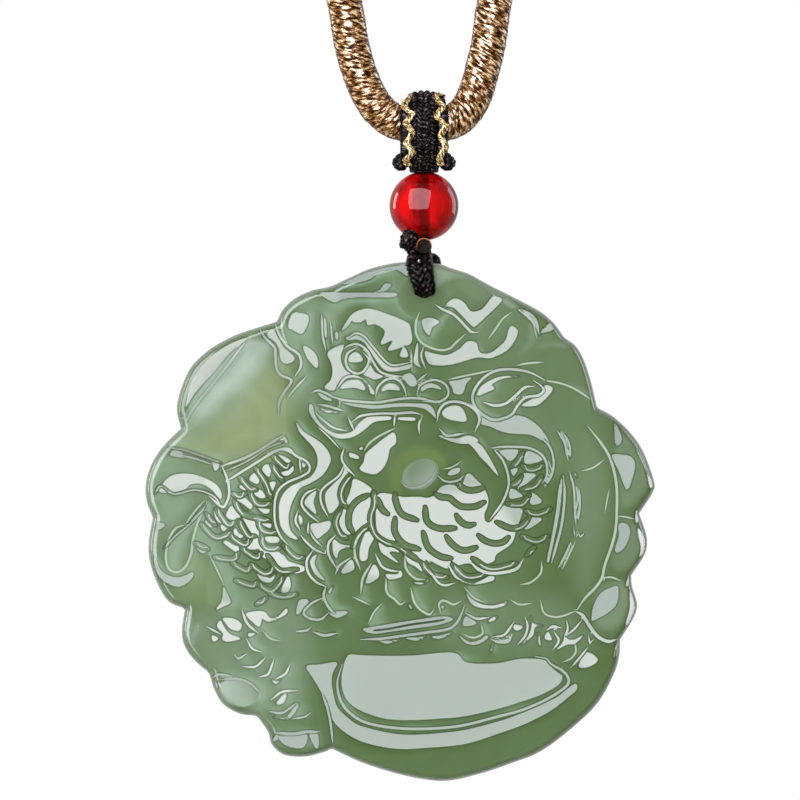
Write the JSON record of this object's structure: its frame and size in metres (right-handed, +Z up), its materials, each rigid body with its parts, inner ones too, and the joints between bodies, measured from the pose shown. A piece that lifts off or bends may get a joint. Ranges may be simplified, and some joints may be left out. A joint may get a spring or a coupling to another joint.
{
  "type": "necklace with a carved jade pendant",
  "caption": "Cord necklace with a round carved green jade pendant in relief, hung by a thread from a red bead and a woven bail.",
  "frame": {"origin": "inner side of the clasp, where the loop sits at the back of the neck", "axes": "+Z up along the loop, +Y towards the back of the jade, +X to the right seen from the front"},
  "size_m": [0.1642, 0.0116, 0.2264],
  "materials": {
    "wound_cord": "wound shiny gold-brown thread",
    "clasp": "satin",
    "dark_thread": "woven matt thread",
    "gold_thread": "shiny twisted thread",
    "melted_thread": "melted and glossy",
    "agate": "polished",
    "jade": "polished"
  },
  "bodies": {
    "necklace": {"necklace_cord": "wound_cord", "cord_clasp": "clasp"},
    "drop": {"bail_band": "dark_thread", "bail_gold_left": "gold_thread", "bail_gold_right": "gold_thread", "agate_bead": "agate", "bead_thread": "dark_thread", "thread_knot": "dark_thread", "thread_end": "melted_thread", "hanging_loop": "dark_thread", "jade_pendant": "jade"}
  },
  "joints": [
    {"name": "drop_swing", "type": "hinge", "parent": "necklace", "child": "drop", "pos_m": [0, 0, -0.15515], "axis": [1, 0, 0], "range_deg": [-90, 90]}
  ]
}
